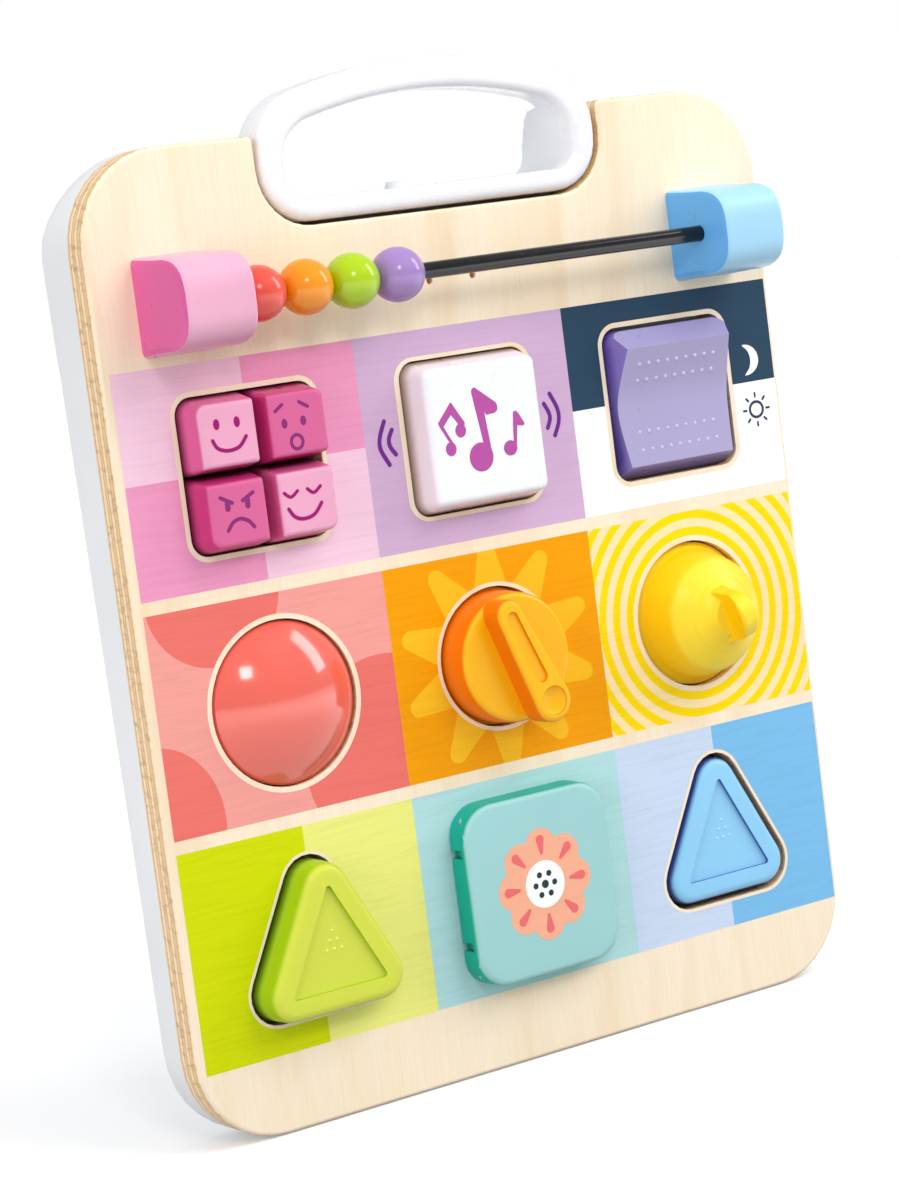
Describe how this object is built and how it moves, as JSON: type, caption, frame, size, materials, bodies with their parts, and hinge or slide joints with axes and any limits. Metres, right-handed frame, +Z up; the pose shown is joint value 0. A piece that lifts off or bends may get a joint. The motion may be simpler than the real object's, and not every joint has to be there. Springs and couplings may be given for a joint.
{
  "type": "wooden busy board",
  "caption": "Toddler busy board: plywood face with press keys, dome, rocker, dial, knob, seesaw buttons, flap with mirror and bead rail, in a white shell with a carry handle.",
  "frame": {"origin": "on the ground under the plywood: middle of the board's width and of the plywood's thickness, at the height of the bottom edge the toy stands on", "axes": "+X to the right seen from the front, +Y backwards through the toy away from its face, +Z up towards the handle"},
  "size_m": [0.248, 0.0575, 0.3114],
  "materials": {
    "plywood": "matt",
    "white_shell": "satin",
    "circuit_green": "satin",
    "black_plastic": "gloss",
    "clear_plastic": "gloss",
    "cell_sleeve": "gloss",
    "bright_steel": "satin",
    "pink_plastic": "satin",
    "blue_plastic": "satin",
    "teal_plastic": "satin",
    "coral_plastic": "satin",
    "orange_plastic": "satin",
    "yellow_plastic": "satin",
    "lime_plastic": "satin",
    "purple_plastic": "satin",
    "light_pink_plastic": "satin",
    "pink_key_plastic": "satin",
    "cream_plastic": "satin",
    "coral_translucent": "gloss",
    "grey_silicone": "matt",
    "mirror_sheet": "mirror"
  },
  "bodies": {
    "case": {"wood_board": "plywood", "rear_shell": "white_shell", "handle_front": "white_shell", "inner_deck": "white_shell", "circuit_board": "circuit_green", "speaker": "black_plastic", "dome_light": "clear_plastic", "batteries": "cell_sleeve", "battery_contacts": "bright_steel", "battery_door": "white_shell", "door_screw": "bright_steel", "case_screws": "bright_steel", "deck_screws": "bright_steel", "circuit_screws": "bright_steel", "bracket_screws": "bright_steel", "pink_bracket": "pink_plastic", "blue_bracket": "blue_plastic", "rail_rod": "black_plastic", "rocker_pin": "bright_steel", "lever_pin": "bright_steel", "flap_mirror": "mirror_sheet", "hinge_lugs": "teal_plastic", "hinge_pin": "bright_steel", "smile_return": "grey_silicone", "surprise_return": "grey_silicone", "cross_return": "grey_silicone", "calm_return": "grey_silicone", "music_return": "grey_silicone", "dome_return": "grey_silicone"},
    "coral_bead": {"coral_bead": "coral_plastic"},
    "orange_bead": {"orange_bead": "orange_plastic"},
    "lime_bead": {"lime_bead": "lime_plastic"},
    "purple_bead": {"purple_bead": "purple_plastic"},
    "smile_key": {"smile_key": "light_pink_plastic"},
    "surprise_key": {"surprise_key": "pink_key_plastic"},
    "cross_key": {"cross_key": "pink_key_plastic"},
    "calm_key": {"calm_key": "light_pink_plastic"},
    "music_key": {"music_key": "cream_plastic"},
    "dome_button": {"dome_button": "coral_translucent"},
    "rocker": {"day_night_rocker": "purple_plastic"},
    "dial": {"orange_dial": "orange_plastic", "dial_retainer": "black_plastic"},
    "knob": {"yellow_knob": "yellow_plastic", "knob_retainer": "black_plastic"},
    "green_triangle": {"green_triangle": "lime_plastic"},
    "blue_triangle": {"blue_triangle": "blue_plastic"},
    "seesaw": {"seesaw_lever": "black_plastic"},
    "flap": {"flap_lid": "teal_plastic"},
    "slider": {"power_slider": "black_plastic"}
  },
  "joints": [
    {"name": "coral_bead_slide", "type": "slide", "parent": "case", "child": "coral_bead", "axis": [1, 0, 0], "range_m": [0, 0.102]},
    {"name": "orange_bead_slide", "type": "slide", "parent": "case", "child": "orange_bead", "axis": [1, 0, 0], "range_m": [0, 0.102]},
    {"name": "lime_bead_slide", "type": "slide", "parent": "case", "child": "lime_bead", "axis": [1, 0, 0], "range_m": [0, 0.102]},
    {"name": "purple_bead_slide", "type": "slide", "parent": "case", "child": "purple_bead", "axis": [1, 0, 0], "range_m": [0, 0.102]},
    {"name": "smile_key_press", "type": "slide", "parent": "case", "child": "smile_key", "axis": [0, 1, 0], "range_m": [0, 0.003], "stiffness_N_per_m": 800, "deforming": ["smile_return"]},
    {"name": "surprise_key_press", "type": "slide", "parent": "case", "child": "surprise_key", "axis": [0, 1, 0], "range_m": [0, 0.003], "stiffness_N_per_m": 800, "deforming": ["surprise_return"]},
    {"name": "cross_key_press", "type": "slide", "parent": "case", "child": "cross_key", "axis": [0, 1, 0], "range_m": [0, 0.003], "stiffness_N_per_m": 800, "deforming": ["cross_return"]},
    {"name": "calm_key_press", "type": "slide", "parent": "case", "child": "calm_key", "axis": [0, 1, 0], "range_m": [0, 0.003], "stiffness_N_per_m": 800, "deforming": ["calm_return"]},
    {"name": "music_key_press", "type": "slide", "parent": "case", "child": "music_key", "axis": [0, 1, 0], "range_m": [0, 0.003], "stiffness_N_per_m": 800, "deforming": ["music_return"]},
    {"name": "dome_press", "type": "slide", "parent": "case", "child": "dome_button", "axis": [0, 1, 0], "range_m": [0, 0.003], "stiffness_N_per_m": 800, "deforming": ["dome_return"]},
    {"name": "rocker_pivot", "type": "hinge", "parent": "case", "child": "rocker", "pos_m": [0.0786, -0.0009, 0.19695], "axis": [-1, 0, 0], "range_deg": [0, 14.6]},
    {"name": "dial_turn", "type": "hinge", "parent": "case", "child": "dial", "pos_m": [0.0004, 0, 0.12685], "axis": [0, -1, 0], "continuous": true},
    {"name": "knob_turn", "type": "hinge", "parent": "case", "child": "knob", "pos_m": [0.0786, 0, 0.12685], "axis": [0, -1, 0], "continuous": true},
    {"name": "green_triangle_press", "type": "slide", "parent": "case", "child": "green_triangle", "axis": [0, 1, 0], "range_m": [0, 0.009]},
    {"name": "blue_triangle_rise", "type": "slide", "parent": "case", "child": "blue_triangle", "axis": [0, 1, 0], "range_m": [-0.009, 0]},
    {"name": "seesaw_pivot", "type": "hinge", "parent": "case", "child": "seesaw", "pos_m": [0.0004, 0.0098, 0.05675], "axis": [0, 0, -1], "range_deg": [0, 6.61]},
    {"name": "flap_hinge", "type": "hinge", "parent": "case", "child": "flap", "pos_m": [-0.0245, -0.0088, 0.05565], "axis": [0, 0, -1], "range_deg": [0, 110]},
    {"name": "power_slide", "type": "slide", "parent": "case", "child": "slider", "axis": [1, 0, 0], "range_m": [0, 0.004]}
  ],
  "couplings": [
    {"joint": "orange_bead_slide", "follows": "coral_bead_slide", "ratio": 1},
    {"joint": "lime_bead_slide", "follows": "coral_bead_slide", "ratio": 1},
    {"joint": "purple_bead_slide", "follows": "coral_bead_slide", "ratio": 1},
    {"joint": "blue_triangle_rise", "follows": "green_triangle_press", "ratio": -1},
    {"joint": "seesaw_pivot", "follows": "green_triangle_press", "rad_per_m": 12.796}
  ]
}
